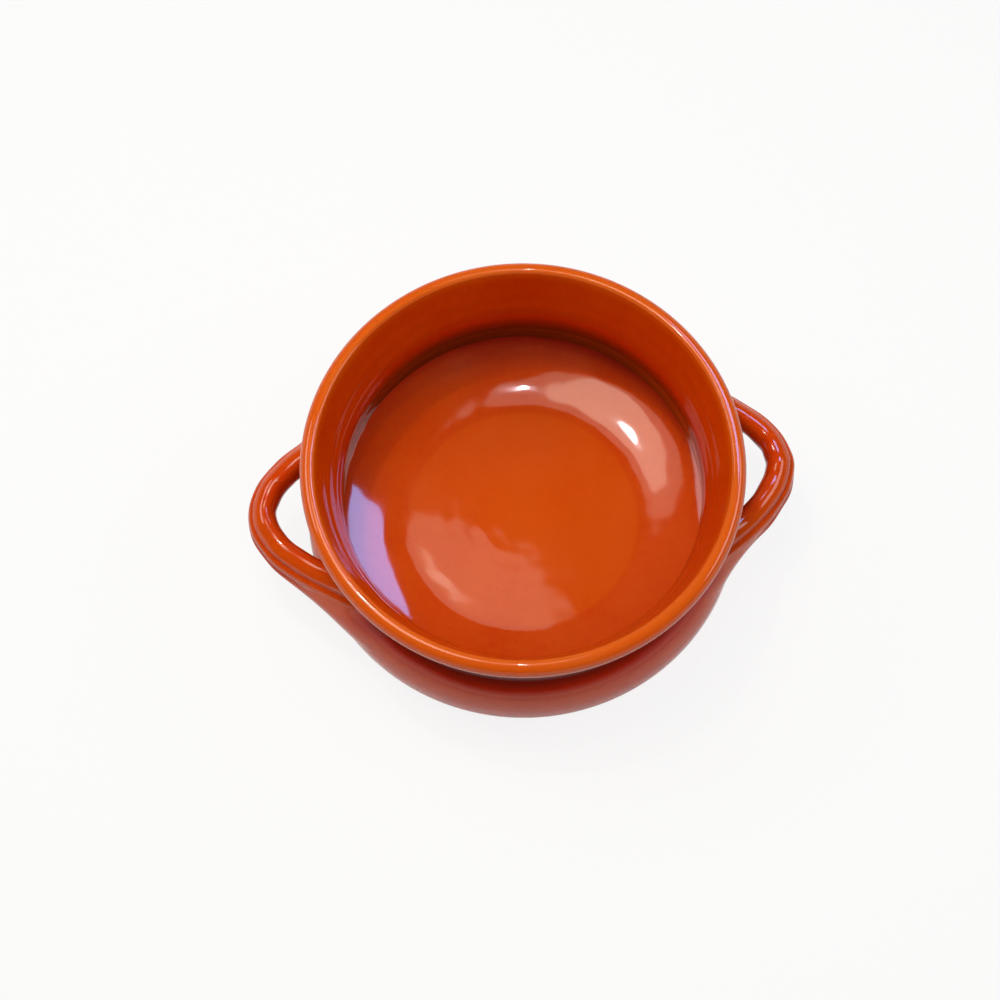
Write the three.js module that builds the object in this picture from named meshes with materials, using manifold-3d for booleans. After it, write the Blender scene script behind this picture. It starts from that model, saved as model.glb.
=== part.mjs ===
// Glazed terracotta baking dish: a thrown bowl with a waisted neck and a rolled lip, two ribbed strap
// handles luted to its shoulder, and a glaze coat over everything but the foot.
// Millimetres, +Z up, the origin on the table under the bowl's axis, the handles along X.
import * as THREE from "three";
import { mergeVertices } from "three/addons/utils/BufferGeometryUtils.js";
import Module from "manifold-3d";

const wasm = await Module();
wasm.setup();

// Outside of the glazed bowl
const rimRadius = 100;
const height = 92.7;
const lipRoll = 4.7;
const lipUnderAngle = THREE.MathUtils.degToRad(50);
const neckRadius = 90.5;
const neckHeight = 57;
const bellyRadius = 104.6;
const bellyHeight = 27.5;
const bellyReach = 46;
const bellySink = 1;

// Inside of the glazed bowl
const lipInnerRoll = 2.4;
const lipLean = THREE.MathUtils.degToRad(19);
const neckWall = 6.1;
const neckEdgeHeight = 41;
const neckEdgeFlare = 1.6;
const bellyWall = 7.8;
const floorHeight = 10.2;
const floorRadius = 57;
const floorCornerRise = 13.8;

// Bare clay foot
const bareFootHeight = 3.5;
const footRadius = 66;
const footRingWidth = 10;
const recessDepth = 1.2;
const recessSlope = 1.5;

// Handles: outside sizes of the glazed strap, and the finger hole that it leaves
const handleHeight = 50;
const strapWidth = 21.5;
const strapThickness = 13;
const strapTilt = THREE.MathUtils.degToRad(22);
const ribPitch = 6.6;
const ribDepth = 1.2;
const ribFade = 0.5;
const fingerDepth = 22.8;
const rootSpan = 83;
const rootFlare = 0.25;
const rootFlareLength = 14;

// Coats and joints, and how far the face of each layer lies from the glazed face over it
const glazeThickness = 0.5;
const slipThickness = 1;
const seamGap = 0.3;
const glazeBack = -glazeThickness;
const clayFace = glazeBack - seamGap;
const slipFoot = clayFace + seamGap;
const slipTop = slipFoot + slipThickness;
const strapFoot = slipTop + seamGap;

// How far each curve keeps to the direction of its end before it turns
const lipPull = 5;
const neckPull = { above: 12, below: 9 };
const bellyPull = 22;
const innerLipPull = 12;
const innerNeckPull = { above: 10, below: 6 };
const neckEdgePull = { above: 5, below: 5.5 };
const innerBellyPull = 11;
const cornerPull = { floor: 16, wall: 4 };

// Fineness
const turnSteps = 40;
const strapSteps = 18;
const sectionSteps = 24;
const longCurveSteps = 5;
const shortCurveSteps = 4;
const wallSteps = 2;
const lipEdgeSteps = 2;
const wallSamples = 200;

// Share of a handle's half span by which its middle line runs on inside the wall
const rootRun = 0.3;

const point = (radius, z) => new THREE.Vector2(radius, z);

// The bowl's inside, from the middle of the floor over the inner edge of the lip, as [curve, steps]
function insideCurves() {
  const bellyInside = bellyRadius - bellyWall;
  const neckInside = neckRadius - neckWall;
  const edgeInside = neckInside + neckEdgeFlare;
  const cornerTop = floorHeight + floorCornerRise;
  const lip = point(rimRadius - lipRoll, height - lipInnerRoll);
  const lean = point(Math.sin(lipLean), Math.cos(lipLean));
  const lipStart = lip.clone().add(point(-lean.y, lean.x).multiplyScalar(lipInnerRoll));
  return [
    [new THREE.LineCurve(point(0, floorHeight), point(floorRadius, floorHeight)), 1],
    [
      new THREE.CubicBezierCurve(
        point(floorRadius, floorHeight), point(floorRadius + cornerPull.floor, floorHeight),
        point(bellyInside, cornerTop - cornerPull.wall), point(bellyInside, cornerTop)),
      longCurveSteps,
    ],
    [
      new THREE.CubicBezierCurve(
        point(bellyInside, cornerTop), point(bellyInside, cornerTop + innerBellyPull),
        point(edgeInside, neckEdgeHeight - neckEdgePull.below), point(edgeInside, neckEdgeHeight)),
      longCurveSteps,
    ],
    [
      new THREE.CubicBezierCurve(
        point(edgeInside, neckEdgeHeight), point(edgeInside, neckEdgeHeight + neckEdgePull.above),
        point(neckInside, neckHeight - innerNeckPull.below), point(neckInside, neckHeight)),
      wallSteps,
    ],
    [
      new THREE.CubicBezierCurve(
        point(neckInside, neckHeight), point(neckInside, neckHeight + innerNeckPull.above),
        lipStart.clone().addScaledVector(lean, -innerLipPull), lipStart),
      shortCurveSteps,
    ],
    [
      new THREE.EllipseCurve(
        lip.x, lip.y, lipInnerRoll, lipInnerRoll, Math.PI - lipLean, Math.PI / 2, true),
      lipEdgeSteps,
    ],
  ];
}

// The outer roll of the lip, from its crest to the groove under it
function lipCurves() {
  return [
    [
      new THREE.EllipseCurve(
        rimRadius - lipRoll, height - lipRoll, lipRoll, lipRoll, Math.PI / 2, -lipUnderAngle, true),
      shortCurveSteps,
    ],
  ];
}

// The bowl's outside, from the groove under the lip to the edge of the glaze above the foot
function outsideCurves() {
  const groove = point(
    rimRadius - lipRoll + lipRoll * Math.cos(lipUnderAngle),
    height - lipRoll - lipRoll * Math.sin(lipUnderAngle));
  const underLip = point(-Math.sin(lipUnderAngle), -Math.cos(lipUnderAngle));
  const bellyDepth = bellyHeight + bellySink;
  const glazeEdgeAngle = Math.asin((bellyHeight - bareFootHeight) / bellyDepth);
  return [
    [
      new THREE.CubicBezierCurve(
        groove, groove.clone().addScaledVector(underLip, lipPull),
        point(neckRadius, neckHeight + neckPull.above), point(neckRadius, neckHeight)),
      shortCurveSteps,
    ],
    [
      new THREE.CubicBezierCurve(
        point(neckRadius, neckHeight), point(neckRadius, neckHeight - neckPull.below),
        point(bellyRadius, bellyHeight + bellyPull), point(bellyRadius, bellyHeight)),
      longCurveSteps,
    ],
    [
      new THREE.EllipseCurve(
        bellyRadius - bellyReach, bellyHeight, bellyReach, bellyDepth, 0, -glazeEdgeAngle, true),
      shortCurveSteps,
    ],
  ];
}

// Points along a run of curves, moved off the glazed face by a distance, outward being positive
function offsetPoints(curves, distance) {
  const points = [];
  for (const [curve, steps] of curves) {
    for (let step = points.length ? 1 : 0; step <= steps; step += 1) {
      const tangent = curve.getTangent(step / steps);
      const outward = point(-tangent.y, tangent.x);
      points.push(curve.getPoint(step / steps).addScaledVector(outward, distance));
    }
  }
  return points;
}

// A profile of (radius, z) points turned about Z
function turned(profile) {
  return new THREE.LatheGeometry(profile, turnSteps).rotateX(Math.PI / 2);
}

// A coat of glaze: the glazed face and the same face set back by the coat's thickness
function coatGeometry(curves, closed) {
  const back = offsetPoints(curves, glazeBack);
  const face = offsetPoints(curves, 0).reverse();
  const profile = [...back, ...face];
  return turned(closed ? [...profile, back[0].clone()] : profile);
}

// The clay bowl lies one coat and one seam under the glazed faces and stands on a foot ring
function bowlGeometry() {
  const skin = offsetPoints([...insideCurves(), ...lipCurves(), ...outsideCurves()], clayFace);
  const recessRadius = footRadius - footRingWidth;
  const base = [
    point(footRadius, 0),
    point(recessRadius, 0),
    point(recessRadius - recessSlope, recessDepth),
    point(0, recessDepth),
  ];
  return turned([...skin, ...base].reverse());
}

// Everything within the bowl's outside, grown outward by a distance, for cutting what stands on it
function bowlEnvelope(distance) {
  const wall = offsetPoints(outsideCurves(), distance);
  const top = wall[0];
  const bottom = wall[wall.length - 1];
  return turned([point(0, bottom.y), ...wall.reverse(), point(0, top.y)]);
}

// The radius of the bowl's outside at a height
function wallRadiusAt(z) {
  const samples = outsideCurves().flatMap(([curve]) => curve.getPoints(wallSamples));
  const gap = (sample) => Math.abs(sample.y - z);
  return samples.reduce((best, sample) => (gap(sample) < gap(best) ? sample : best)).x;
}

// A strap's outline as (out, up) points with their outward steps: an oval with three ribs on its outer side
function strapSection(offset) {
  const outlineAt = (turn) => {
    const up = (strapWidth / 2) * Math.sin(turn);
    const outerSide = Math.max(0, Math.cos(turn)) ** ribFade;
    const groove = (ribDepth / 2) * (1 - Math.cos((2 * Math.PI * up) / ribPitch));
    return point((strapThickness / 2) * Math.cos(turn) - groove * outerSide, up);
  };
  const nudge = Math.PI / 300;
  return Array.from({ length: sectionSteps }, (_, step) => {
    const turn = (2 * Math.PI * step) / sectionSteps;
    const along = outlineAt(turn + nudge).sub(outlineAt(turn - nudge)).normalize();
    return { at: outlineAt(turn), outward: point(along.y, -along.x).multiplyScalar(offset) };
  });
}

// The middle line of the right handle: a parabola around the fingers, run on into the wall at both ends
function strapStations() {
  const wall = wallRadiusAt(handleHeight);
  const seat = Math.sqrt(wall ** 2 - (rootSpan / 2) ** 2);
  const reach = wall + fingerDepth + strapThickness / 2 - seat;
  return Array.from({ length: strapSteps + 1 }, (_, step) => {
    const across = (1 + rootRun) * ((2 * step) / strapSteps - 1);
    return {
      at: point(seat + reach * (1 - across ** 2), (rootSpan / 2) * across),
      out: point(rootSpan / 2, 2 * reach * across).normalize(),
    };
  });
}

// How much the section grows where the strap spreads onto the wall
function flareAt(station) {
  const seat = wallRadiusAt(handleHeight) + rootFlareLength - station.at.length();
  const spread = THREE.MathUtils.clamp(seat / rootFlareLength, 0, 1);
  return 1 + rootFlare * spread ** 2;
}

// One ring of the strap: the section, leaning with the shoulder, around a station of the middle line
function strapRing(station, section) {
  const flare = flareAt(station);
  const out = new THREE.Vector3(station.out.x, station.out.y, 0);
  const centre = new THREE.Vector3(station.at.x, station.at.y, handleHeight);
  return section.map(({ at, outward }) => {
    const leaning = at.clone().multiplyScalar(flare).add(outward).rotateAround(point(0, 0), strapTilt);
    return centre.clone().addScaledVector(out, leaning.x).add(new THREE.Vector3(0, 0, leaning.y));
  });
}

// A closed skin through rings of points, with a fan over each end
function lofted(rings) {
  const count = rings[0].length;
  const middle = (ring) => ring.reduce((sum, at) => sum.add(at), new THREE.Vector3()).divideScalar(count);
  const first = rings.length * count;
  const vertices = [...rings.flat(), middle(rings[0]), middle(rings[rings.length - 1])];
  const faces = [];
  for (let side = 0; side < count; side += 1) {
    const next = (side + 1) % count;
    for (let row = 0; row < rings.length - 1; row += 1) {
      const [a, b] = [row * count + side, row * count + next];
      faces.push(a, b + count, b, a, a + count, b + count);
    }
    const last = (rings.length - 1) * count;
    faces.push(first, side, next, first + 1, last + next, last + side);
  }
  return new THREE.BufferGeometry().setFromPoints(vertices).setIndex(faces);
}

// The whole strap, its skin moved outward by a distance, with both ends deep inside the bowl
function strapGeometry(offset) {
  const section = strapSection(offset);
  return lofted(strapStations().map((station) => strapRing(station, section)));
}

// One end of the strap, the front one or the back one
function strapEndGeometry(offset, end) {
  const section = strapSection(offset);
  const stations = strapStations();
  const half = Math.floor(stations.length / 2);
  const kept = end === "front" ? stations.slice(0, half) : stations.slice(-half);
  return lofted(kept.map((station) => strapRing(station, section)));
}

// A geometry as a solid that can be joined and cut
function solid(geometry) {
  const bare = geometry.clone();
  bare.deleteAttribute("normal");
  bare.deleteAttribute("uv");
  const merged = mergeVertices(bare, 1e-3);
  const corners = merged.index.array;
  const triVerts = [];
  for (let face = 0; face < corners.length; face += 3) {
    const [a, b, c] = corners.slice(face, face + 3);
    if (a !== b && b !== c && c !== a) {
      triVerts.push(a, b, c);
    }
  }
  const vertProperties = new Float32Array(merged.attributes.position.array);
  return new wasm.Manifold(
    new wasm.Mesh({ numProp: 3, vertProperties, triVerts: new Uint32Array(triVerts) }));
}

// A solid back as a geometry
function geometryOf(shape) {
  const mesh = shape.getMesh();
  const geometry = new THREE.BufferGeometry();
  geometry.setAttribute("position", new THREE.BufferAttribute(new Float32Array(mesh.vertProperties), 3));
  geometry.setIndex(new THREE.BufferAttribute(new Uint32Array(mesh.triVerts), 1));
  geometry.computeVertexNormals();
  return geometry;
}

const clay = { color: 0xb5643c, roughness: 0.85, metalness: 0 };
const wetSlip = { color: 0xa5583a, roughness: 0.9, metalness: 0 };
const glaze = { color: 0xc04a12, roughness: 0.12, metalness: 0 };

function piece(name, geometry, finish) {
  const mesh = new THREE.Mesh(geometry, new THREE.MeshStandardMaterial(finish));
  mesh.name = name;
  return mesh;
}

// The clay strap, cut to sit on the slip at both ends
function strap() {
  return solid(strapGeometry(clayFace)).subtract(solid(bowlEnvelope(strapFoot)));
}

// The pad of slip under one end of a strap
function slipPad(end) {
  const root = solid(strapEndGeometry(clayFace, end));
  return root.intersect(solid(bowlEnvelope(slipTop))).subtract(solid(bowlEnvelope(slipFoot)));
}

// The glaze around a strap, from the bowl's glaze at one end to the bowl's glaze at the other
function strapGlaze() {
  const coat = solid(strapGeometry(0)).subtract(solid(strapGeometry(glazeBack)));
  return coat.subtract(solid(bowlEnvelope(seamGap)));
}

// A handle with its slip pads and its glaze, turned half way round for the left side
function handle(side) {
  const turnedRound = side === "left";
  const group = new THREE.Group();
  group.rotation.z = turnedRound ? Math.PI : 0;
  group.add(piece(`${side}_handle`, geometryOf(strap()), clay));
  group.add(piece(`${side}_handle_glaze`, geometryOf(strapGlaze()), glaze));
  group.add(piece(`${side}_front_slip`, geometryOf(slipPad(turnedRound ? "back" : "front")), wetSlip));
  group.add(piece(`${side}_back_slip`, geometryOf(slipPad(turnedRound ? "front" : "back")), wetSlip));
  return group;
}

// The glaze outside the bowl, with a window for each end of the straps
function exteriorGlaze() {
  const window = strapGeometry(clayFace + seamGap);
  const coat = solid(coatGeometry(outsideCurves(), true));
  return geometryOf(coat.subtract(solid(window)).subtract(solid(window.clone().rotateZ(Math.PI))));
}

// The outer coat begins where the inner coat ends, in the groove under the lip
const dish = new THREE.Group();
dish.name = "terracotta_baking_dish";
dish.add(piece("bowl_body", bowlGeometry(), clay));
dish.add(piece("interior_glaze", coatGeometry([...insideCurves(), ...lipCurves()], false), glaze));
dish.add(piece("exterior_glaze", exteriorGlaze(), glaze));
dish.add(handle("left"));
dish.add(handle("right"));

export default dish;
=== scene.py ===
# %% [markdown]
# # A glazed terracotta baking dish
# A potter throws this dish on a wheel: foot, floor, round belly, waisted neck and rolled lip are one
# turned form. Two pulled straps with finger-wide ribs are luted to its shoulder as handles. All of it
# but the foot is dipped in a honey-brown glaze, which is what the eye sees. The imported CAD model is
# loaded first as a fixed frame, in metres. The new pieces are worked out in millimetres, as a potter
# would measure them, and turned into metres when they become meshes.

import bpy
import numpy as np
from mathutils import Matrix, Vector


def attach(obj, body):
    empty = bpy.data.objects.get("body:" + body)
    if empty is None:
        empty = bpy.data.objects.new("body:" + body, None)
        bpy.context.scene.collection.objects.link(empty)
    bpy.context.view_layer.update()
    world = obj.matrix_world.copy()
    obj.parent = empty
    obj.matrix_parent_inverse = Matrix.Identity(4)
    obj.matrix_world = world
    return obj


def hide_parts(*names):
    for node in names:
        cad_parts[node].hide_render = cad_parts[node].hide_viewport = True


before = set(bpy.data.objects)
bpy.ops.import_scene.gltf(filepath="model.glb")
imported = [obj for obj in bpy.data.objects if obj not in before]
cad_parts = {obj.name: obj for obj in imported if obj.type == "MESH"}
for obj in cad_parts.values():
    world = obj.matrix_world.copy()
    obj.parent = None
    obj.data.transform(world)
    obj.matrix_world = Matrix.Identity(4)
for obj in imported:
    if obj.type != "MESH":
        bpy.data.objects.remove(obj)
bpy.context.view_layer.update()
MILLIMETRE = 0.001

# %% [markdown]
# ## Camera
# The photograph looks down into the dish, a little from its left front. A camera can be placed by eye,
# but a rim that is round in fact and an ellipse in the picture gives its tilt and its distance, so the
# camera here hangs on a line from the middle of the rim at that tilt. The dish isn't in the middle of
# the picture, and a small lens shift moves the view without turning the camera.

# %% Camera
rim_radius = 100.0
height = 92.7
lip_roll = 4.7
rim_middle = Vector((0, 0, (height - lip_roll) * MILLIMETRE))
camera_turn = np.radians(-6.8)
camera_tilt = np.radians(67.9)
camera_distance = 0.6
camera_lens = 48.07
camera_shift = (-0.023, -0.0415)


def direction(turn, tilt):
    """Unit vector: (sin turn cos tilt, -cos turn cos tilt, sin tilt), so turn 0 is the front."""
    flat = np.cos(tilt)
    return Vector((np.sin(turn) * flat, -np.cos(turn) * flat, np.sin(tilt)))


def add_object(name, data):
    """Puts new data into the scene as an object at the origin."""
    made = bpy.data.objects.new(name, data)
    bpy.context.scene.collection.objects.link(made)
    return made


def aim(thing, place, target):
    """Puts a camera or lamp at a place, with its own -Z axis on the line to the target."""
    thing.location = place
    thing.rotation_euler = (target - place).to_track_quat("-Z", "Y").to_euler()


camera = add_object("camera", bpy.data.cameras.new("camera"))
camera.data.lens = camera_lens
camera.data.shift_x, camera.data.shift_y = camera_shift
aim(camera, rim_middle + direction(camera_turn, camera_tilt) * camera_distance, rim_middle)
bpy.context.scene.camera = camera
bpy.context.scene.view_settings.view_transform = "Standard"
print("camera at", [round(value, 3) for value in camera.location])

# %% [markdown]
# ## Colours and shader nodes
# Colours are written as sRGB hex values, as a paint program shows them, but shaders reckon with linear
# light, so one function turns them. Materials are node trees, and one more function adds any node with
# its settings and links. A pattern's scale in Blender is the number of its features in a metre, so it
# follows from the size of one feature in millimetres.

# %% Colour and node helpers
def linear(hex_colour):
    """sRGB to linear: a channel c is c / 12.92 up to 0.04045, and ((c + 0.055) / 1.055) ** 2.4 above."""
    channels = np.array([int(hex_colour[start:start + 2], 16) for start in (1, 3, 5)]) / 255
    bright = ((channels + 0.055) / 1.055) ** 2.4
    return (*np.where(channels > 0.04045, bright, channels / 12.92).tolist(), 1.0)


def add_node(tree, kind, inputs=(), **settings):
    """Adds a node. Settings are its properties; each pair of inputs is a socket and a link or a value."""
    node = tree.nodes.new(kind)
    for name, value in settings.items():
        setattr(node, name, value)
    for socket, value in dict(inputs).items():
        if isinstance(value, bpy.types.NodeSocket):
            tree.links.new(value, node.inputs[socket])
        else:
            node.inputs[socket].default_value = value
    return node


def new_material(name):
    """An empty node material, with its tree and a socket that gives Object coordinates in metres."""
    material = bpy.data.materials.new(name)
    material.use_nodes = True
    tree = material.node_tree
    tree.nodes.clear()
    return material, tree, add_node(tree, "ShaderNodeTexCoord").outputs["Object"]


def finish_material(tree, shader):
    """Links a shader to the material's surface."""
    add_node(tree, "ShaderNodeOutputMaterial", {"Surface": shader.outputs[0]})


def per_metre(feature_mm):
    """A pattern's scale: how many features of this size fit in one metre."""
    return 1 / (feature_mm * MILLIMETRE)


print("middle grey in linear light:", round(linear("#808080")[0], 3))

# %% [markdown]
# ## Honey-brown glaze
# This is a transparent glaze with iron in it over red clay, fired to a high gloss. Where it lies thin, on
# the lip and on the crests of the ribs, the clay glows through in orange. Where it gathers, in the neck
# and in grooves, it turns red-brown. Painted light is mixed in: level faces and the tops of the straps are
# lighter, the middle of the floor has a painted glow, and painted shade darkens the neck's lower edge, the
# corner past the floor's ring and the waist under the lip. Each glazed piece carries an attribute,
# glaze_thin_and_painted_light, that says how thin its coat is at each point with that painted light in it,
# and a ramp of four shades gives the colour for it. Slow blotches, fine mottle and iron specks break up
# the evenness. In the bump, slow swells make reflections swim, and a faint peel and a few pinholes keep
# the gloss from looking like plastic.

# %% Glaze material
# The ramp runs by thinness and painted light; its darkest stop is the painted shade of the neck and waist
glaze_shades = {0.0: "#3A0300", 0.25: "#C42600", 0.5: "#DA5204", 1.0: "#E0681C"}
iron_speck = linear("#4A1607")
# Sizes and depths of the patterns are in millimetres, shares are parts of the thinness or of the colour
blotch_size, blotch_share = 32, 0.08
mottle_size, mottle_share = 3.5, 0.04
speck_cell, speck_radius, speck_share = 8.5, 0.45, 0.45
swim_size, swim_depth = 22, 0.25
peel_size, peel_depth = 2.2, 0.006
pinhole_cell, pinhole_radius, pinhole_depth = 11, 0.35, 0.15
glaze_smoothest, glaze_roughest = 0.045, 0.085
glaze_ior = 1.52
# Nearly all values of a noise texture lie between these two
noise_low, noise_high = 0.3, 0.7


def glaze_colour(tree, place, blotch):
    """The ramp's shade for the thinness and painted light times blotches and mottle, with iron specks over
    it.
    """
    # The attribute holds the coat's thinness with painted light and shade in it
    coat = add_node(tree, "ShaderNodeAttribute", attribute_name="glaze_thin_and_painted_light").outputs["Fac"]
    mottle = add_node(tree, "ShaderNodeTexNoise", {
        "Vector": place, "Scale": per_metre(mottle_size), "Detail": 4.0}).outputs[0]
    for noise, share in ((blotch, blotch_share), (mottle, mottle_share)):
        factor = add_node(tree, "ShaderNodeMapRange", {
            "Value": noise, "From Min": noise_low, "From Max": noise_high,
            "To Min": 1 - share, "To Max": 1 + share}).outputs[0]
        coat = add_node(tree, "ShaderNodeMath", {0: coat, 1: factor}, operation="MULTIPLY").outputs[0]

    ramp = add_node(tree, "ShaderNodeValToRGB", {"Fac": coat})
    stops = ramp.color_ramp.elements
    stops.remove(stops[1])
    for place_on_ramp, colour in glaze_shades.items():
        stop = stops[0] if place_on_ramp == 0 else stops.new(place_on_ramp)
        stop.color = linear(colour)

    speck = add_node(tree, "ShaderNodeTexVoronoi", {
        "Vector": place, "Scale": per_metre(speck_cell)}).outputs["Distance"]
    speck_mask = add_node(tree, "ShaderNodeMapRange", {
        "Value": speck, "From Min": 0.5 * speck_radius / speck_cell, "From Max": speck_radius / speck_cell,
        "To Min": speck_share, "To Max": 0.0}).outputs[0]
    # A Mix node in colour mode takes its factor at 0 and its two colours at 6 and 7
    return add_node(tree, "ShaderNodeMix", {
        0: speck_mask, 6: ramp.outputs["Color"], 7: iron_speck}, data_type="RGBA").outputs[2]


def glaze_bump(tree, place):
    """Swells, peel and pinholes: each bump node starts from the normal that the one before gives."""
    swim = add_node(tree, "ShaderNodeTexNoise", {
        "Vector": place, "Scale": per_metre(swim_size), "Detail": 1.0}).outputs[0]
    peel = add_node(tree, "ShaderNodeTexNoise", {
        "Vector": place, "Scale": per_metre(peel_size), "Detail": 2.0}).outputs[0]
    cell = add_node(tree, "ShaderNodeTexVoronoi", {
        "Vector": place, "Scale": per_metre(pinhole_cell)}).outputs["Distance"]
    pinhole = add_node(tree, "ShaderNodeMapRange", {
        "Value": cell, "From Min": 0.0, "From Max": pinhole_radius / pinhole_cell}).outputs[0]
    before = {}
    for relief, depth in ((swim, swim_depth), (peel, peel_depth), (pinhole, pinhole_depth)):
        bump = add_node(tree, "ShaderNodeBump", {
            "Height": relief, "Strength": 1.0, "Distance": depth * MILLIMETRE, **before})
        before = {"Normal": bump.outputs[0]}
    return bump.outputs[0]


def glaze_material():
    """Glossy coat: the shade and the bump above, and a roughness that follows the blotches."""
    material, tree, place = new_material("honey_glaze_fired_gloss")
    blotch = add_node(tree, "ShaderNodeTexNoise", {
        "Vector": place, "Scale": per_metre(blotch_size), "Detail": 3.0}).outputs[0]
    gloss = add_node(tree, "ShaderNodeMapRange", {
        "Value": blotch, "From Min": noise_low, "From Max": noise_high,
        "To Min": glaze_smoothest, "To Max": glaze_roughest}).outputs[0]
    finish_material(tree, add_node(tree, "ShaderNodeBsdfPrincipled", {
        "Base Color": glaze_colour(tree, place, blotch), "Roughness": gloss,
        "IOR": glaze_ior, "Normal": glaze_bump(tree, place)}))
    return material


honey_glaze = glaze_material()
print("glaze nodes:", len(honey_glaze.node_tree.nodes))

# %% [markdown]
# ## Bare clay and slip
# The foot is wiped clean before firing so that the dish doesn't stick to the kiln shelf, and there the
# clay shows: matt, pale orange-brown, with fine grog in it. The slip that holds the handles lies under
# the glaze. Its pads are CAD nodes that keep their own shapes, and get a clay finish that is a little
# darker, because slip is finer and denser.

# %% Clay materials
cloud_size = 18
cloud_dark, cloud_pale = 0.35, 0.65
grog_colour = linear("#D9A078")
# A cell of grog is this many grain sizes wide. Its pale grain is full up to the first share of that
# width, and gone past the second.
grog_cell = 4
grog_core, grog_edge, grog_share = 0.1, 0.22, 0.6
grit_depth = 0.08
clay_smoothest, clay_roughest = 0.78, 0.95
clay_ior = 1.5


def clay_material(name, dark, pale, grain_size):
    """Matt earthenware: two tones mixed by a cloudy noise, pale grog grains, and a gritty bump."""
    material, tree, place = new_material(name)
    cloud = add_node(tree, "ShaderNodeTexNoise", {
        "Vector": place, "Scale": per_metre(cloud_size), "Detail": 5.0}).outputs[0]
    cloud_mask = add_node(tree, "ShaderNodeMapRange", {
        "Value": cloud, "From Min": cloud_dark, "From Max": cloud_pale}).outputs[0]
    shade = add_node(tree, "ShaderNodeMix", {
        0: cloud_mask, 6: linear(dark), 7: linear(pale)}, data_type="RGBA").outputs[2]
    grog = add_node(tree, "ShaderNodeTexVoronoi", {
        "Vector": place, "Scale": per_metre(grog_cell * grain_size)}).outputs["Distance"]
    grog_mask = add_node(tree, "ShaderNodeMapRange", {
        "Value": grog, "From Min": grog_core, "From Max": grog_edge,
        "To Min": grog_share, "To Max": 0.0}).outputs[0]
    shade = add_node(tree, "ShaderNodeMix", {
        0: grog_mask, 6: shade, 7: grog_colour}, data_type="RGBA").outputs[2]
    grit = add_node(tree, "ShaderNodeTexNoise", {
        "Vector": place, "Scale": per_metre(grain_size), "Detail": 6.0}).outputs[0]
    bump = add_node(tree, "ShaderNodeBump", {
        "Height": grit, "Strength": 1.0, "Distance": grit_depth * MILLIMETRE})
    rough = add_node(tree, "ShaderNodeMapRange", {
        "Value": grit, "To Min": clay_smoothest, "To Max": clay_roughest}).outputs[0]
    finish_material(tree, add_node(tree, "ShaderNodeBsdfPrincipled", {
        "Base Color": shade, "Roughness": rough, "IOR": clay_ior, "Normal": bump.outputs[0]}))
    return material


bare_terracotta = clay_material("bare_terracotta_wiped_foot", "#A9552F", "#C4703F", grain_size=0.5)
fired_slip = clay_material("fired_luting_slip", "#8E4527", "#A35A38", grain_size=0.3)
slip_nodes = [f"{side}_{end}_slip" for side in ("left", "right") for end in ("front", "back")]
for name in slip_nodes:
    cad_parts[name].data.materials.clear()
    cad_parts[name].data.materials.append(fired_slip)
print("CAD nodes that stay under the glaze:", *slip_nodes)

# %% [markdown]
# ## Curves in the plane of radius and height
# A thrown bowl is a profile turned about an axis, so its curves are worked out in the plane of radius
# and height. Blender has curve objects and a Screw modifier for this. Here a curve is an array of points,
# because the coats and the handles also need its lengths, its normals and how much it bulges.

# %% Curve helpers
# Keeps a division by a length safe where that length is 0
TINY = 1e-9


def bezier(start, start_pull, end_pull, end, steps):
    """Cubic curve: the four points weighted (1-t)^3, 3(1-t)^2 t, 3(1-t) t^2 and t^3 for t from 0 to 1."""
    t = np.linspace(0, 1, steps + 1)[:, None]
    first, second, third, last = (np.asarray(point, float) for point in (start, start_pull, end_pull, end))
    start_half = (1 - t) ** 3 * first + 3 * (1 - t) ** 2 * t * second
    return start_half + 3 * (1 - t) * t ** 2 * third + t ** 3 * last


def arc(middle, radii, start, end, steps):
    """Ellipse arc: middle plus (radius_x cos a, radius_z sin a), the angle a going from start to end."""
    angle = np.radians(np.linspace(start, end, steps + 1))
    return np.asarray(middle) + np.asarray(radii) * np.stack([np.cos(angle), np.sin(angle)], axis=1)


def leaning(degrees):
    """Unit vector (sin a, cos a): upright, leaning outwards by the angle a."""
    angle = np.radians(degrees)
    return np.array([np.sin(angle), np.cos(angle)])


def joined(*runs):
    """Runs of points in one line, each later run without its first point, which the run before ends on."""
    return np.concatenate([runs[0], *(run[1:] for run in runs[1:])])


def length_along(line):
    """Distance from the line's start at each of its points."""
    return np.concatenate([[0], np.cumsum(np.linalg.norm(np.diff(line, axis=0), axis=1))])


def softened(line, spacing, reach):
    """The line resampled evenly and averaged along its length with bell-shaped weights of that reach."""
    along = length_along(line)
    even = np.linspace(0, along[-1], int(along[-1] / spacing) + 1)
    points = np.stack([np.interp(even, along, line[:, axis]) for axis in (0, 1)], axis=1)
    side = int(3 * reach / spacing)
    weights = np.exp(-0.5 * (np.arange(-side, side + 1) * spacing / reach) ** 2)
    padded = np.pad(points, ((side, side), (0, 0)), mode="reflect", reflect_type="odd")
    return np.stack(
        [np.convolve(padded[:, axis], weights / weights.sum(), mode="valid") for axis in (0, 1)], axis=1)


def outward(line):
    """Unit normals of a line: its direction turned a quarter to the left, where the air is."""
    along = np.gradient(line, axis=0)
    turned = np.stack([-along[:, 1], along[:, 0]], axis=1)
    return turned / np.linalg.norm(turned, axis=1, keepdims=True)


def bulge(line):
    """Curvature, positive where the line bulges into the air: the fall of its direction per millimetre."""
    along = np.gradient(line, axis=0)
    heading = np.unwrap(np.arctan2(along[:, 1], along[:, 0]))
    return -np.gradient(heading) / np.maximum(np.linalg.norm(along, axis=1), TINY)


quarter = arc((0, 0), (1, 1), 0, 90, steps=90)
print("a quarter of a circle of radius 1 is", round(length_along(quarter)[-1], 3), "long")

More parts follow.
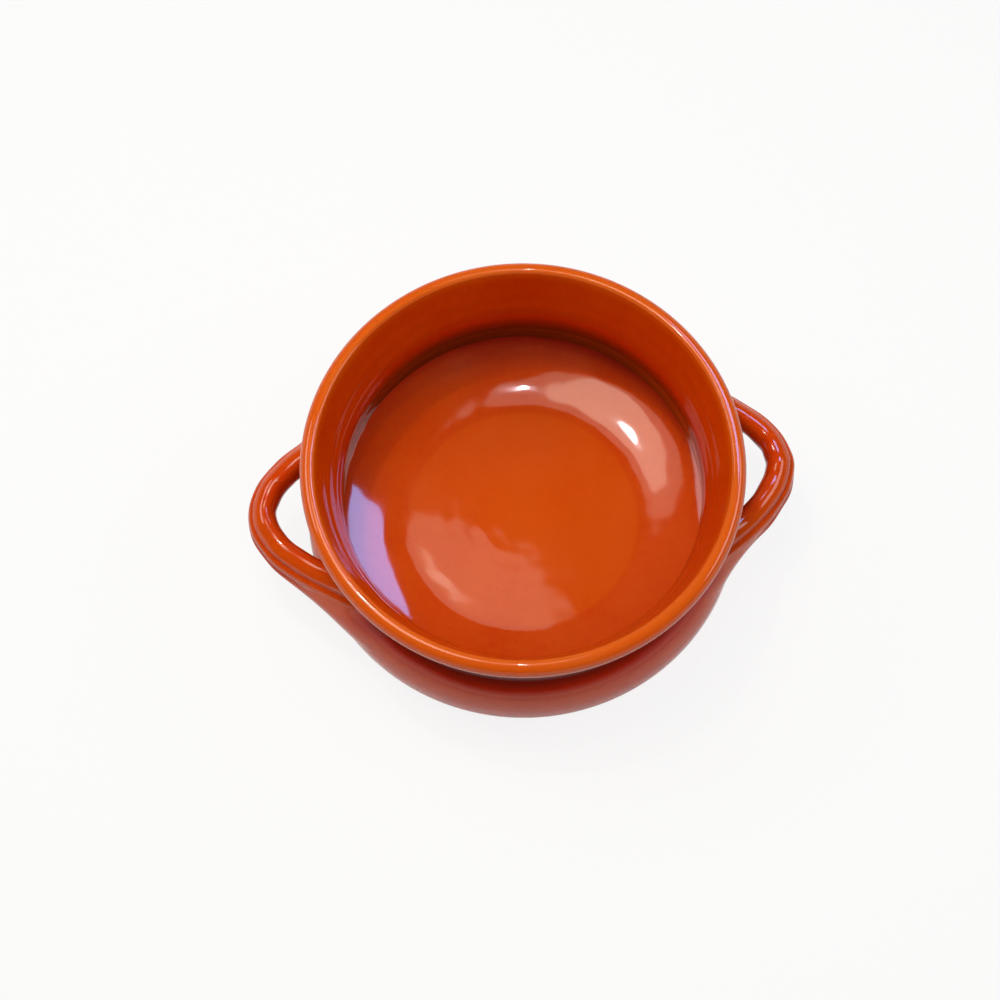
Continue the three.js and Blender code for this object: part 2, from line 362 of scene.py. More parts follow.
# %% [markdown]
# ## The thrown profile
# The lip is a circular roll, the belly outside is part of an ellipse that would end just below the table,
# and the walls between are cubic curves that keep the direction of what they join. A cubic has a pull at
# each end: the longer the pull, the longer the curve holds the direction that it has there.
# Inside, the flat of the floor meets the rise of its corner at a ring, which a potter's rib softens, so
# that run is sampled evenly and smoothed along its length. Above it the belly draws in to the tight lower
# edge of the neck, and lies under that edge as a recess.

# %% Profile of the dish
neck_radius, neck_height = 90.5, 57.0
belly_radius, belly_height, belly_reach, belly_depth = 104.6, 27.5, 46.0, 28.5
neck_wall, belly_wall = 6.1, 7.8
neck_edge_height, neck_edge_flare = 41.0, 1.6
floor_height, floor_radius, corner_rise = 10.2, 57.0, 13.8
rib_spacing, rib_reach = 1.0, 1.6
inner_roll = 2.4
lip_lean, lip_under = 19, 50
glaze_edge = 3.5
# Pulls of the cubic curves inside, from the floor up, and outside, from the lip down
ring_pull, corner_pull = 16.0, 4.0
belly_pull, edge_pull_below = 11.0, 5.5
edge_pull_above, waist_pull_below = 5.0, 6.0
waist_pull_above, lip_pull = 10.0, 12.0
groove_pull, neck_pull_above = 5.0, 12.0
neck_pull_below, shoulder_pull = 9.0, 22.0


def inside_line():
    """Floor, corner, belly, the neck's lower edge and the neck up to the lip, with the air on the left."""
    belly_inside, neck_inside = belly_radius - belly_wall, neck_radius - neck_wall
    edge_inside = neck_inside + neck_edge_flare
    corner_top = floor_height + corner_rise
    lean = leaning(lip_lean)
    roll_middle = np.array([rim_radius - lip_roll, height - inner_roll])
    roll_start = roll_middle + inner_roll * np.array([-lean[1], lean[0]])
    ring = np.array([floor_radius, floor_height])
    corner = bezier(
        ring, ring + np.array([ring_pull, 0]),
        (belly_inside, corner_top - corner_pull), (belly_inside, corner_top), steps=60)
    floor_run = joined(np.array([[0, floor_height], ring]), corner)
    return joined(
        softened(floor_run, rib_spacing, rib_reach),
        bezier((belly_inside, corner_top), (belly_inside, corner_top + belly_pull),
               (edge_inside, neck_edge_height - edge_pull_below), (edge_inside, neck_edge_height), steps=30),
        bezier((edge_inside, neck_edge_height), (edge_inside, neck_edge_height + edge_pull_above),
               (neck_inside, neck_height - waist_pull_below), (neck_inside, neck_height), steps=18),
        bezier((neck_inside, neck_height), (neck_inside, neck_height + waist_pull_above),
               roll_start - lip_pull * lean, roll_start, steps=34),
        arc(roll_middle, (inner_roll, inner_roll), 180 - lip_lean, 90, steps=12))


def lip_line():
    """The outer roll of the lip, from its crest to the groove under it."""
    return arc((rim_radius - lip_roll, height - lip_roll), (lip_roll, lip_roll), 90, -lip_under, steps=28)


def outside_line():
    """Groove, neck, shoulder and belly, down to the edge of the glaze above the foot."""
    groove = lip_line()[-1]
    belly_middle = (belly_radius - belly_reach, belly_height)
    edge_angle = np.degrees(np.arcsin((belly_height - glaze_edge) / belly_depth))
    return joined(
        bezier(groove, groove - groove_pull * leaning(lip_under),
               (neck_radius, neck_height + neck_pull_above), (neck_radius, neck_height), steps=36),
        bezier((neck_radius, neck_height), (neck_radius, neck_height - neck_pull_below),
               (belly_radius, belly_height + shoulder_pull), (belly_radius, belly_height), steps=44),
        arc(belly_middle, (belly_reach, belly_depth), 0, -edge_angle, steps=44))


profile_lengths = [round(length_along(line)[-1]) for line in (inside_line(), outside_line())]
print("profile lengths in mm:", *profile_lengths)

# %% [markdown]
# ## From grids to meshes
# Each piece is a grid of points: rows along the profile or along the strap, columns around it. The
# grid's faces come from index arithmetic on whole arrays, and a fan of triangles closes each pole. A
# hand-thrown bowl is never quite round, so all pieces share one slow swelling of the radius with the
# angle, which keeps them together.

# %% Mesh helpers
# Each swell of the radius: its share of the radius, its waves around and its phase
swells = ((0.0016, 2, 0.9), (0.0008, 3, 2.2))
plain_thin = 0.5


def out_of_round(points):
    """Radius times 1 plus the swells, each its share times cos(waves angle + phase). The height stays."""
    angle = np.arctan2(points[..., 1], points[..., 0])
    swell = 1 + sum(share * np.cos(waves * angle + phase) for share, waves, phase in swells)
    return points * np.stack([swell, swell, np.ones_like(swell)], axis=-1)


def grid_faces(rows, columns, ring):
    """Quads between neighbours of the grid, columns closed on themselves, rows too where ring is set."""
    index = np.arange(rows * columns).reshape(rows, columns)
    here, ahead = (index, np.roll(index, -1, axis=0)) if ring else (index[:-1], index[1:])
    quads = np.stack([here, ahead, np.roll(ahead, -1, axis=1), np.roll(here, -1, axis=1)], axis=-1)
    return index, quads.reshape(-1, 4)


def add_piece(name, grid, material, poles=(), thin=None):
    """A mesh from a grid in millimetres. Two poles close its ends; without them the rows form a ring."""
    rows, columns = grid.shape[:2]
    index, quads = grid_faces(rows, columns, ring=len(poles) == 0)
    faces = quads.tolist()
    points = grid.reshape(-1, 3)
    if len(poles):
        points = np.concatenate([points, poles])
        first, last = index[0], index[-1]
        start = np.full(columns, len(points) - 2)
        faces += np.stack([start, first, np.roll(first, -1)], axis=1).tolist()
        faces += np.stack([last, start + 1, np.roll(last, -1)], axis=1).tolist()
    mesh = bpy.data.meshes.new(name)
    mesh.from_pydata((out_of_round(points) * MILLIMETRE).tolist(), [], faces)
    mesh.shade_smooth()
    mesh.materials.append(material)
    if thin is not None:
        values = np.full(len(points), plain_thin)
        values[:thin.size] = thin.ravel()
        mesh.attributes.new("glaze_thin_and_painted_light", "FLOAT", "POINT").data.foreach_set("value", values)
    piece = add_object(name, mesh)
    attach(piece, "root")
    print(name, len(mesh.vertices), "points", len(mesh.polygons), "faces")
    return piece


largest_swell = sum(share for share, _, _ in swells) * rim_radius
print("out of round by up to", round(largest_swell, 2), "mm at the rim")

# %% [markdown]
# ## How a coat lies
# Both coats of the bowl are grids turned about its axis. The wheel leaves faint ridges in them that climb
# in a spiral. Molten glaze draws off what bulges, such as the lip, and painted light makes a level face
# lighter than a steep wall, so the thinness comes from the curvature and the slope of the profile, with
# painted light in it. It could be painted on by hand as vertex colours, but those wouldn't follow a
# changed profile.

# %% Turned grids and thinness
columns_around = 288
around = np.linspace(0, 2 * np.pi, columns_around, endpoint=False)
ridge_pitch, ridge_height = 9.0, 0.2
# A level face gets painted light: the upright part of its normal adds to the thinness
steep_thin, painted_level_light, bulge_more = 0.28, 0.22, 0.8
averaged_points = 7


def turned_grid(line):
    """Points (radius cos a, radius sin a, height) for each row of the line and each angle a around."""
    radius, rise = line[:, :1], line[:, 1:]
    return np.stack([radius * np.cos(around), radius * np.sin(around), rise + 0 * around], axis=-1)


def turned_normals(line):
    """The line's outward normals carried around in the same way as its points."""
    return turned_grid(outward(line))


def throwing_ridges(line, strength):
    """Spiral ridges: strength times half the ridge height times cos(2 pi length / pitch + angle)."""
    turns = 2 * np.pi * length_along(line)[:, None] / ridge_pitch
    return 0.5 * ridge_height * strength[:, None] * np.cos(turns + around)


def smooth_step(low, high, value):
    """0 at low, 1 at high, 3 t^2 - 2 t^3 between them, and level on both sides."""
    t = np.clip((value - low) / (high - low), 0, 1)
    return t * t * (3 - 2 * t)


def band(value, start, full, fading, end):
    """0 up to start, 1 from full to fading, 0 from end on, with smooth steps between."""
    return smooth_step(start, full, value) * smooth_step(end, fading, value)


def thinness_and_light(line):
    """What a steep wall has, plus painted light by the upright part of the normal, plus more by the bulge,
    which is averaged over a few neighbouring points."""
    weights = np.ones(averaged_points) / averaged_points
    edge = np.convolve(np.pad(bulge(line), averaged_points // 2, mode="edge"), weights, "valid")
    return np.clip(steep_thin + painted_level_light * np.abs(outward(line)[:, 1]) + bulge_more * edge, 0, 1)


lip_thin_and_light = thinness_and_light(lip_line())
print("thinness on the lip:", lip_thin_and_light.min().round(2), "to", lip_thin_and_light.max().round(2))

# %% [markdown]
# ## Glaze inside the bowl
# Glaze is poured into the bowl, swilled round and tipped out over the lip, so one coat covers the floor,
# the wall and the roll of the lip, down to the groove outside. It could be a copy of the clay with a
# Solidify modifier. Here its face and its back are one closed profile, so the coat has a true thickness.
# The ridges are strongest in the neck, where a hand pulls last. Painted shade, with glaze that gathers
# there too, gives a dark band above the neck's lower edge. A painted glow lightens the middle of the floor,
# and painted shade darkens it past its ring, in a small step of tone.

# %% Interior glaze
glaze_thickness = 0.5
# The back of a coat is hidden, so one row in this many is enough for it
back_step = 5
# Heights where the ridges and the painted shade of the neck start, are full, start to fade and end
ridged_heights = (41, 51, 80, 88)
neck_shade_heights = (37, 41, 50, 70)
# Ridges on the floor: their strength, the radius from which it is full and the height where they end
floor_ridges, floor_ridge_radius, floor_ridge_height = 0.07, 20, 20
# Painted shade starts past the floor's ring between two radii, and a painted glow fades from the axis to a
# third
ring_shade_radii = (floor_radius - 1, floor_radius + 1.5)
floor_glow_radius = 30
painted_floor_tone = 0.06

inner_face = joined(inside_line(), lip_line())
inner_radius, inner_height = inner_face.T
floor_share = floor_ridges * np.clip(inner_radius / floor_ridge_radius, 0, 1)
floor_share *= inner_height < floor_ridge_height
inner_ridges = throwing_ridges(inner_face, band(inner_height, *ridged_heights) + floor_share)
inner_grid = turned_grid(inner_face) + turned_normals(inner_face) * inner_ridges[..., None]
inner_back = (inner_face - glaze_thickness * outward(inner_face))[::-back_step]

# Painted shade in the corner past the floor's ring, and a painted glow in the middle of the floor
painted_ring_shade = smooth_step(*ring_shade_radii, inner_radius) * (inner_height < floor_height + corner_rise)
painted_floor_glow = smooth_step(floor_glow_radius, 0, inner_radius)
# Painted shade above the neck's lower edge takes the thinness to nothing there, so the band goes dark
inner_coat_and_light = thinness_and_light(inner_face) * (1 - band(inner_height, *neck_shade_heights))
inner_coat_and_light += painted_floor_tone * (painted_floor_glow - painted_ring_shade)
inner_thin_and_light = np.broadcast_to(inner_coat_and_light[:, None], inner_grid.shape[:2])
back_thin = np.full((len(inner_back), columns_around), plain_thin)
interior = add_piece(
    "interior_glaze_coat",
    np.concatenate([inner_grid[1:], turned_grid(inner_back)]), honey_glaze,
    poles=np.array([[0, 0, floor_height], [0, 0, floor_height - glaze_thickness]]),
    thin=np.concatenate([inner_thin_and_light[1:], back_thin]))
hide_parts("interior_glaze")

# %% [markdown]
# ## Glaze outside the bowl
# Outside, the dish is dipped upside down, so the coat starts in the groove under the lip and ends above
# the foot in a wavy line, where it draws up into a thick bead. The rows of the grid can slide along the
# profile: near the foot each column is shifted a little by a slow wave of the angle, which gives the edge.
# Painted shade under the lip makes the coat darkest in the waist, where gathered glaze also darkens it. A
# few short runs hang under the lip, where glaze tipped out of the bowl flowed down before it froze.

# %% Exterior glaze
chance = np.random.default_rng(11)
edge_waves = np.array([3, 5, 8, 13])
edge_wave, edge_reach, lowest_slide = 1.1, 16.0, -0.6
bead_height, bead_reach = 0.45, 1.6
run_count, run_height, run_fall = 11, 0.3, 1.2
run_widths, run_lengths = (1.2, 2.4), (7, 20)
outer_ridges = 0.15
# Painted shade under the lip: heights where it starts, is full, fades and ends, and the share it takes off
waist_shade_heights = (41, 53, 61, 78)
waist_shade_share, relief_share = 0.8, 0.2


def wavy_edge():
    """Shift of the glaze edge in mm: the wave times the mean of cosines around, each with a drawn phase."""
    phases = chance.uniform(0, 2 * np.pi, len(edge_waves))
    return edge_wave * np.mean(np.cos(np.outer(edge_waves, around) + phases[:, None]), axis=0)


def glaze_runs(along):
    """Runs under the lip: bells across the angle that hold their height and then fall off with length."""
    centres = chance.uniform(0, 2 * np.pi, run_count)
    widths = chance.uniform(*run_widths, run_count)
    lengths = chance.uniform(*run_lengths, run_count)
    gap = np.angle(np.exp(1j * (around[:, None] - centres))) * neck_radius
    across = np.exp(-(gap / widths) ** 2)
    down = 1 / (1 + np.exp((along[:, None] - lengths) / run_fall))
    return run_height * down @ across.T


outer_line = outside_line()
outer_along = length_along(outer_line)
from_edge = outer_along - outer_along[-1]
slide = np.clip((from_edge + edge_reach) / edge_reach, 0, 1)[:, None] * wavy_edge()
slid_along = outer_along[:, None] - np.maximum(slide, lowest_slide)
outer_radius = np.interp(slid_along, outer_along, outer_line[:, 0])
outer_height = np.interp(slid_along, outer_along, outer_line[:, 1])
outer_grid = np.stack([outer_radius * np.cos(around), outer_radius * np.sin(around), outer_height], axis=-1)
bead = bead_height * np.exp(-((from_edge + bead_reach) / bead_reach) ** 2)
faint_ridges = throwing_ridges(outer_line, np.full(len(outer_line), outer_ridges))
relief = glaze_runs(outer_along) + bead[:, None] + faint_ridges
outer_grid += turned_normals(outer_line) * relief[..., None]
back_rows = np.arange(len(outer_line) - 1, -1, -back_step)
back_depth = (glaze_thickness + relief[back_rows])[..., None]
outer_back = outer_grid[back_rows] - turned_normals(outer_line)[back_rows] * back_depth

# Painted shade under the lip darkens the waist, beside the thinness of the profile
outer_coat_and_light = thinness_and_light(outer_line) * (1 - waist_shade_share * band(outer_line[:, 1], *waist_shade_heights))
outer_thin_and_light = np.clip(outer_coat_and_light[:, None] - relief_share * relief, 0, 1)
exterior = add_piece(
    "exterior_glaze_coat", np.concatenate([outer_grid, outer_back]), honey_glaze,
    thin=np.concatenate([outer_thin_and_light, outer_thin_and_light[back_rows]]))
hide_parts("exterior_glaze")

# %% [markdown]
# ## The clay bowl
# Under the coats is the thrown bowl itself. Only its foot shows: a flat ring that stands on the table
# around a shallow recess, turned with a loop tool that leaves fine grooves. Its profile is the glazed
# profile set back by the coat, closed by the line of the foot.

# %% Clay bowl
clay_depth = 0.8
foot_radius = 66.0
ring_width = 10.0
bevel_width, bevel_height = 2.0, 0.5
recess_depth, recess_slope = 1.2, 1.5
foot_spacing, foot_rounding = 0.6, 0.5
tool_pitch, tool_depth = 2.4, 0.12
# Rows near the foot are all kept, and one in this many of the rows under the glaze
shown_rows, hidden_step = 20, 4


def foot_line(start):
    """From the end of the belly's clay to the foot ring, over it, up the recess and to the axis."""
    inner = foot_radius - ring_width
    ring = [[foot_radius + bevel_width, bevel_height], [foot_radius, 0], [inner, 0]]
    recess = [[inner - recess_slope, recess_depth], [0, recess_depth]]
    return softened(np.array([start, *ring, *recess]), foot_spacing, foot_rounding)


skin = joined(inside_line(), lip_line(), outside_line())
skin_clay = skin - clay_depth * outward(skin)
hidden_clay, shown_clay = skin_clay[:-shown_rows:hidden_step], skin_clay[-shown_rows:]
foot = foot_line(skin_clay[-1])
tool_marks = tool_depth * np.sin(np.pi * foot[:, 0] / tool_pitch) ** 2 * (foot[:, 1] > 0.5 * recess_depth)
foot[:, 1] += tool_marks
clay_line = joined(np.concatenate([hidden_clay, shown_clay]), foot)[1:-1]
clay_bowl = add_piece(
    "clay_bowl", turned_grid(clay_line), bare_terracotta,
    poles=np.array([[0, 0, floor_height - clay_depth], [0, 0, recess_depth]]))
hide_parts("bowl_body")

# %% [markdown]
# ## Strap handles
# Each handle is a strap of clay pulled through wet fingers, which press two grooves into its outer side
# and leave three ribs. It bends out from the shoulder in a wide bow and back, leaning so that its lower
# edge stands further out. A curve with a bevel shape could carry such a section, but the strap also
# widens at its roots, is a little knobbly, and has a groove that fades, so each of its points is worked
# out from its place across the bow and its turn around the section.

# %% Strap section and path
handle_height = 50.0
strap_width, strap_thickness = 21.5, 13.0
strap_tilt = np.radians(22)
groove_place, groove_reach, groove_depth = 3.3, 2.5, 1.25
# Shares of the half span between which the lower groove fades
groove_fading, groove_end = 0.55, 0.85
finger_depth = 22.8
root_half_span = 41.5
root_flare, flare_length = 0.25, 14.0
# Waves of a hand-pulled strap: how many run along it and how many around it
hand_waves = np.array([[4, 0], [7, 1], [11, -1], [17, 2], [23, 1]])

wall_line = outside_line()
wall_normal = outward(wall_line)
wall_radius = np.interp(-handle_height, -wall_line[:, 1], wall_line[:, 0])
seat = np.sqrt(wall_radius ** 2 - root_half_span ** 2)
bow = wall_radius + finger_depth + strap_thickness / 2 - seat


def grooves(up, across):
    """Two raised-cosine hollows at plus and minus the groove place; the lower one fades near the roots."""
    upper, lower = (
        0.5 + 0.5 * np.cos(np.pi * np.clip(np.abs(up - place) / groove_reach, 0, 1))
        for place in (groove_place, -groove_place))
    return upper + lower * smooth_step(groove_end, groove_fading, np.abs(across))


def hand_swell(across, turn, hand):
    """Unevenness of a strap pulled by hand: 1 plus a few cosines that wave along it and around it."""
    sizes = hand["knobs"] / np.sqrt(np.arange(1, len(hand_waves) + 1))
    waves = across[..., None] * hand_waves[:, 0] + turn[..., None] * hand_waves[:, 1]
    return 1 + np.cos(waves + hand["phases"]) @ sizes


def strap_points(across, turn, hand):
    """Right handle: the middle line is seat + bow (1 - q^2) out and q half spans along; around it an oval
    (half thickness cos a, half width sin a), less the grooves on its outer side, leans by the tilt."""
    half_span = np.where(across < 0, hand["first_half_span"], root_half_span)
    middle = np.stack([seat + bow * (1 - across ** 2), half_span * across], axis=-1)
    out = np.stack([half_span, 2 * bow * across], axis=-1)
    out /= np.linalg.norm(out, axis=-1, keepdims=True)
    spread = np.clip((wall_radius + flare_length - np.linalg.norm(middle, axis=-1)) / flare_length, 0, 1)
    flare = (1 + root_flare * spread ** 2) * hand_swell(across, turn, hand)
    up = strap_width / 2 * np.sin(turn)
    hollow = groove_depth * grooves(up, across) * (np.cos(turn) > 0)
    x = flare * (strap_thickness / 2 * np.cos(turn) - hollow)
    y = flare * up
    lean_x = x * np.cos(strap_tilt) - y * np.sin(strap_tilt)
    lean_y = x * np.sin(strap_tilt) + y * np.cos(strap_tilt)
    flat = middle + out * lean_x[..., None]
    return np.concatenate([flat, (handle_height + lean_y)[..., None]], axis=-1)


print("strap bow in mm:", round(float(bow), 1), "from a wall radius of", round(float(wall_radius), 1))

# %% [markdown]
# ## Roots on the wall
# The potter smooths the ends of a strap onto the wall: the top rib ends as a rounded lobe, and the lower
# ribs run out in a broad web. A boolean and a bevel could join such forms, but a bevel has the same width
# all round. So each line along the strap is followed to where it meets the wall, and is bent into the
# wall there on an arc of its own radius.

# %% Straps bent into the wall
strap_rows = 180
section_points = 112
section = np.linspace(0, 2 * np.pi, section_points, endpoint=False)
lobe_radius = 2.6
# Degrees around the section between which the web spreads: its start, full width, fading and end
web_band = (-150, -95, -35, 20)
# Shares of the half span among which the meeting with the wall is looked for
root_tries = np.linspace(0.5, 1.3, 321)


def over_wall(points):
    """Height of points over the bowl's outside along its normal, and that normal, at the nearest sample."""
    radius = np.hypot(points[..., 0], points[..., 1])
    offset_r = radius[..., None] - wall_line[:, 0]
    offset_z = points[..., 2, None] - wall_line[:, 1]
    nearest = np.argmin(offset_r ** 2 + offset_z ** 2, axis=-1)
    normal = wall_normal[nearest]
    flat = points[..., :2] / radius[..., None] * normal[..., :1]
    rise = (radius - wall_line[nearest, 0]) * normal[..., 0]
    rise += (points[..., 2] - wall_line[nearest, 1]) * normal[..., 1]
    return rise, np.concatenate([flat, normal[..., 1:]], axis=-1)


def root_place(end, hand):
    """For each line along the strap, the share of the half span where it meets the wall at one end: a
    straight step from the last try outside the wall to the first one inside."""
    rise, _ = over_wall(strap_points(*np.meshgrid(end * root_tries, section, indexing="ij"), hand))
    inside = np.argmax(rise < 0, axis=0)
    lines = np.arange(len(section))
    before, after = rise[inside - 1, lines], rise[inside, lines]
    return root_tries[inside - 1] + (root_tries[1] - root_tries[0]) * before / (before - after)


def fillet_radius(web_size):
    """The lobe's radius, rising to the web's size in the band of angles on the lower and outer side."""
    degrees = np.degrees(np.angle(np.exp(1j * section)))
    return lobe_radius + (web_size - lobe_radius) * band(degrees, *web_band)


def face_directions(grid):
    """The cross products of the grid's two directions, which point out of the strap."""
    side = np.roll(grid, -1, axis=1) - np.roll(grid, 1, axis=1)
    return np.cross(np.gradient(grid, axis=0), side)


def strap_grid(hand):
    """Rows crowd towards the roots as sin(pi t / 2); below the fillet radius w a point at height d moves
    aside by w - sqrt(w^2 - (w - d)^2) along the wall and keeps its height."""
    t = np.linspace(-1, 1, strap_rows)[:, None]
    across = np.where(t < 0, root_place(-1, hand), root_place(1, hand)) * np.sin(np.pi / 2 * t)
    turn = np.broadcast_to(section, across.shape)
    points = strap_points(across, turn, hand)
    rise, normal = over_wall(points)
    away = face_directions(points)
    away -= normal * np.sum(away * normal, axis=-1, keepdims=True)
    away /= np.maximum(np.linalg.norm(away, axis=-1, keepdims=True), TINY)
    reach = fillet_radius(hand["web"])
    short = np.clip(reach - np.maximum(rise, 0), 0, reach)
    points = points + away * (reach - np.sqrt(reach ** 2 - short ** 2))[..., None]
    moved_rise, moved_normal = over_wall(points)
    bent = (short > 0)[..., None]
    points = points + np.where(bent, moved_normal * (np.maximum(rise, 0) - moved_rise)[..., None], 0)
    return points, across


print("lines along a strap:", section_points, "with", strap_rows, "rows each")

# %% [markdown]
# ## The two handles
# Both handles come from the same functions. The left one is turned half round, because the same hands
# worked on it from the other side, and it has a wider web and a shorter first half. A mirror would give
# two handles that match too well. The coat lies thin on the crests and thick in the grooves, painted light
# makes the top of a strap lighter, and near the wall it takes the tone of the wall's coat, painted shade
# included. The clay core follows the coat at a small depth.

# %% Handles
left_shortening = 3.3
hands = {
    "right": {"turned": 1, "web": 13.0, "first_half_span": root_half_span, "knobs": 0.03},
    "left": {"turned": -1, "web": 20.0, "first_half_span": root_half_span - left_shortening, "knobs": 0.02},
}
sink = 1.5
# The top of a strap gets painted light, which raises the thinness and lightens the shade there
strap_thin, outer_more, painted_top_light, groove_less = 0.3, 0.15, 0.06, 0.1
wall_tone_reach = 6


def set_back(grid, depth):
    """The grid moved inwards by a depth along its unit normals."""
    normal = face_directions(grid)
    return grid - depth * normal / np.maximum(np.linalg.norm(normal, axis=-1, keepdims=True), TINY)


def strap_thinness_and_light(strap, across, rise):
    """What a strap has, plus more on its outer side, plus painted light on its top, less in the grooves.
    Near the wall a smooth step leads to the coat that the wall has at the same height, painted shade
    included."""
    # Crests get a thinner coat, and the top of the strap gets painted light
    crest = outer_more * np.maximum(np.cos(section), 0) + painted_top_light * np.maximum(np.sin(section), 0)
    thin = strap_thin + crest - groove_less * grooves(strap_width / 2 * np.sin(section), across)
    # The wall's coat near a root carries its painted shade and light onto the strap
    wall_coat_and_light = np.interp(-strap[..., 2], -outer_line[:, 1], outer_coat_and_light)
    thin += (wall_coat_and_light - thin) * smooth_step(wall_tone_reach, 0, rise)
    return np.clip(thin, 0, 1)


def add_handle(side, hand):
    """One strap, its coat over its clay, its ends sunk in the wall. The left one is turned half round."""
    strap, across = strap_grid(hand)
    rise, normal = over_wall(strap)
    thin = strap_thinness_and_light(strap, across, rise)
    sunk = strap[[0, -1]] - sink * normal[[0, -1]]
    half_round = np.array([hand["turned"], hand["turned"], 1])
    strap = np.concatenate([sunk[:1], strap, sunk[1:]]) * half_round
    # Under the coat, every second row and column is enough for the clay
    core = set_back(strap, clay_depth)[1:-1:2, ::2]
    clay = add_piece(
        f"{side}_handle_clay", core, bare_terracotta, poles=core[[0, -1]].mean(axis=1))
    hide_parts(f"{side}_handle")
    handle = add_piece(
        f"{side}_handle_glaze_coat", strap, honey_glaze,
        poles=strap[[0, -1]].mean(axis=1), thin=np.concatenate([thin[:1], thin, thin[-1:]]))
    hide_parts(f"{side}_handle_glaze")


for side, hand in hands.items():
    add_handle(side, {**hand, "phases": chance.uniform(0, 2 * np.pi, len(hand_waves))})

# %% [markdown]
# ## White sheet and room
# The dish stands on a plain white sheet, which runs into a white backdrop all round, under a dark ceiling.
# A sheet can be made white by more light, but that light would also fall on the dish. Here the camera
# sees most of the sheet as plain white, and a rest of it as lit paper, which keeps the shadow. The gloss
# mirrors the same white, toned down. Rays that only light the dish find lit paper and a dim, even room.

# %% Sheet and room
paper_white, mirrored_white = 0.85, 0.35
floor_half = 3.0
# The sheet lies a hair under the foot, so that their faces don't coincide
sheet_level = -0.05 * MILLIMETRE
room_fill, backdrop_white, ceiling_dark = 0.12, 0.9, 0.05
backdrop_top, ceiling_start = np.sin(np.radians((2, 14))).tolist()


def seen_share(tree, straight, mirrored):
    """0 for a ray that only lights, the straight value for one that comes from the camera, and the mirrored
    value for one that a gloss has mirrored or glass has let through."""
    path = add_node(tree, "ShaderNodeLightPath").outputs
    turned = add_node(tree, "ShaderNodeMath", {
        0: path["Is Glossy Ray"], 1: path["Is Transmission Ray"]}, operation="MAXIMUM").outputs[0]
    turned_share = add_node(tree, "ShaderNodeMath", {
        0: turned, 1: mirrored}, operation="MULTIPLY").outputs[0]
    return add_node(tree, "ShaderNodeMath", {
        0: path["Is Camera Ray"], 1: straight, 2: turned_share}, operation="MULTIPLY_ADD").outputs[0]


def sheet_material():
    """Matt white paper. To the eye a share of it is plain white of strength 1, so the background is white
    and a soft rest of the shadow stays."""
    material, tree, _ = new_material("white_paper_sheet")
    paper = add_node(tree, "ShaderNodeBsdfPrincipled", {"Base Color": linear("#F4F4F4"), "Roughness": 0.9})
    plain = add_node(tree, "ShaderNodeEmission", {"Color": linear("#FFFFFF"), "Strength": 1.0})
    finish_material(tree, add_node(tree, "ShaderNodeMixShader", {
        0: seen_share(tree, paper_white, mirrored_white), 1: paper.outputs[0], 2: plain.outputs[0]}))
    return material


def light_room(world):
    """To the eye white up to the backdrop's top, fading to dark at the ceiling's start and above it. For
    rays that only light, an even dim fill."""
    world.use_nodes = True
    room = world.node_tree
    # In a world, Generated is the direction that a ray looks in, and its Z is the sine of the lift
    look = add_node(room, "ShaderNodeTexCoord").outputs["Generated"]
    lift = add_node(room, "ShaderNodeSeparateXYZ", {"Vector": look}).outputs["Z"]
    backdrop = add_node(room, "ShaderNodeMapRange", {
        "Value": lift, "From Min": backdrop_top, "From Max": ceiling_start,
        "To Min": backdrop_white, "To Max": ceiling_dark}).outputs[0]
    level = add_node(room, "ShaderNodeMix", {
        0: seen_share(room, 1.0, 1.0), 2: room_fill, 3: backdrop}).outputs[0]
    room.nodes["Background"].inputs["Color"].default_value = linear("#FFFFFF")
    room.links.new(level, room.nodes["Background"].inputs["Strength"])


floor_mesh = bpy.data.meshes.new("floor")
corner_signs = ((-1, -1), (1, -1), (1, 1), (-1, 1))
sheet_corners = [(x * floor_half, y * floor_half, sheet_level) for x, y in corner_signs]
floor_mesh.from_pydata(sheet_corners, [], [(0, 1, 2, 3)])
floor_mesh.materials.append(sheet_material())
floor = add_object("floor", floor_mesh)
bpy.context.scene.world = bpy.data.worlds.new("studio")
light_room(bpy.context.scene.world)
print("sheet of", 2 * floor_half, "m, backdrop of strength", backdrop_white)

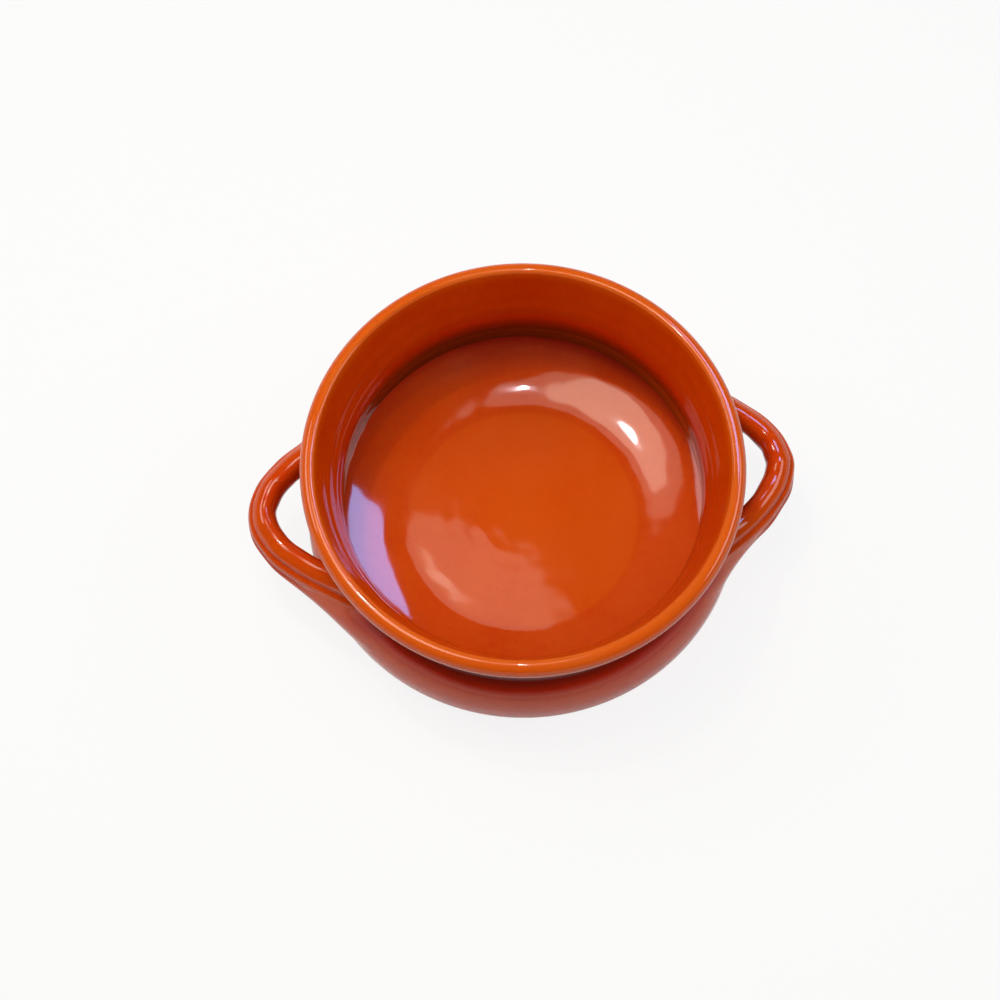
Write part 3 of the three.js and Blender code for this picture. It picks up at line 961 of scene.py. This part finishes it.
# %% [markdown]
# ## Studio lamps
# A glossy form is drawn by what it mirrors, so the lamps are placed where the photograph shows their
# mirror images: a warm umbrella, brighter in its middle, with its flash overhead to the left, a bulb
# straight above, a soft panel on each side, and a roof window at the right, whose sky blue turns lilac
# over the orange glaze. The window is only mirrored, and two wide screens only light, so that the fill
# has no blue tint and no image. Each lamp's power follows from how bright it looks and from its area, so
# a lamp can be resized without a change of its brightness in the mirror.

# %% Lamps
dish_middle = Vector((0, 0, 0.03))
warm_white, sky_blue = "#FFF0D8", "#6FB2FF"
window_turn = np.radians(-16)
screen_size = (0.7, 0.5)
screens = {"back_screen": ((-0.2, 0.6, 1.05), 1.95), "front_screen": ((0.0, -0.38, 1.16), 2.45)}


def add_lamp(name, place, size, radiance, shape="ELLIPSE", colour="#FFFFFF"):
    """An area lamp at a place in metres, facing the dish. Its power is radiance times pi times area."""
    lamp = bpy.data.lights.new(name, "AREA")
    lamp.shape = shape
    lamp.size, lamp.size_y = size
    area = size[0] * size[1] * (np.pi / 4 if shape == "ELLIPSE" else 1)
    lamp.energy = radiance * np.pi * area
    lamp.color = linear(colour)[:3]
    holder = add_object(name, lamp)
    aim(holder, Vector(place), dish_middle)
    return holder


umbrella = add_lamp("umbrella", (-0.23, 0.15, 1.0), (0.65, 0.5), 1.7, colour=warm_white)
add_lamp("flash", (-0.176, 0.184, 0.96), (0.03, 0.03), 420.0)
add_lamp("bulb", (0.008, 0.068, 1.03), (0.02, 0.02), 600.0)
add_lamp("umbrella_middle", (-0.22, 0.13, 1.02), (0.44, 0.37), 3.6, colour=warm_white)
add_lamp("left_panel", (-0.66, 0.33, 0.72), (0.45, 0.3), 3.5)
add_lamp("right_panel", (0.76, 0.0, 0.66), (0.6, 0.3), 3.5)
window = add_lamp("window", (0.535, 0.475, 1.0), (0.42, 0.4), 13.0, "RECTANGLE", sky_blue)
# These two hang level and don't face the dish, and the window is turned a little about the upright
umbrella.rotation_euler = (0, 0, 0)
window.rotation_euler = (0, 0, window_turn)
window.visible_diffuse = False
for name, (place, radiance) in screens.items():
    add_lamp(name, place, screen_size, radiance, "RECTANGLE").visible_glossy = False
print("lamps:", *(lamp.name for lamp in bpy.data.lights))
